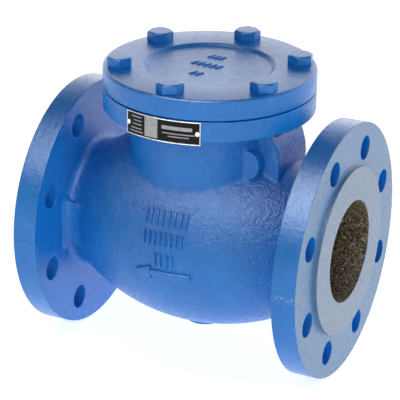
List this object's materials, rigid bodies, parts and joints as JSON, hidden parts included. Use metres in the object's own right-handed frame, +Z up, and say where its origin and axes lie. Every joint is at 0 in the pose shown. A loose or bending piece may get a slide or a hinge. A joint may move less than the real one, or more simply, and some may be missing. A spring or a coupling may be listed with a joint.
{
  "type": "swing check valve",
  "caption": "Flanged cast iron swing check valve with a round bolted cover, flow arrow, side hinge bosses and a hinged disc inside.",
  "frame": {"origin": "centre of the inlet raised face, on the pipe axis", "axes": "+X along the pipe axis out of the inlet (flow goes towards -X), +Z up through the cover, -Y towards the side with the nameplate and flow arrow"},
  "size_m": [0.241, 0.2, 0.2392],
  "materials": {
    "enamel_iron": "glossy blue enamel over sand-cast iron",
    "enamel_steel": "glossy blue enamel",
    "bare_iron": "bare, lightly browned",
    "bronze": "machined bronze",
    "copper": "soft copper",
    "steel": "turned",
    "rivet": "domed",
    "plate": "black field with bright edge",
    "gasket": "matt sheet"
  },
  "bodies": {
    "housing": {"body": "enamel_iron", "cover": "enamel_iron", "cover_gasket": "gasket", "cover_bolt_1": "enamel_steel", "cover_bolt_2": "enamel_steel", "cover_bolt_3": "enamel_steel", "cover_bolt_4": "enamel_steel", "cover_bolt_5": "enamel_steel", "cover_bolt_6": "enamel_steel", "nameplate": "plate", "nameplate_rivet_1": "rivet", "nameplate_rivet_2": "rivet", "seat_ring": "bronze", "bush_front": "bronze", "bush_rear": "bronze", "pin_plug": "enamel_steel", "pin_plug_gasket": "copper"},
    "arm": {"hinge_arm": "bare_iron", "hinge_pin": "steel"},
    "disc": {"disc": "bare_iron", "disc_face_ring": "bronze", "disc_washer": "steel", "disc_nut": "bronze", "disc_split_pin": "steel"}
  },
  "joints": [
    {"name": "arm_swing", "type": "hinge", "parent": "housing", "child": "arm", "pos_m": [-0.0732, 0, 0.0712], "axis": [0, 1, 0], "range_deg": [0, 65]},
    {"name": "disc_spin", "type": "hinge", "parent": "arm", "child": "disc", "pos_m": [-0.0955, 0, 0], "axis": [1, 0, 0], "continuous": true}
  ]
}
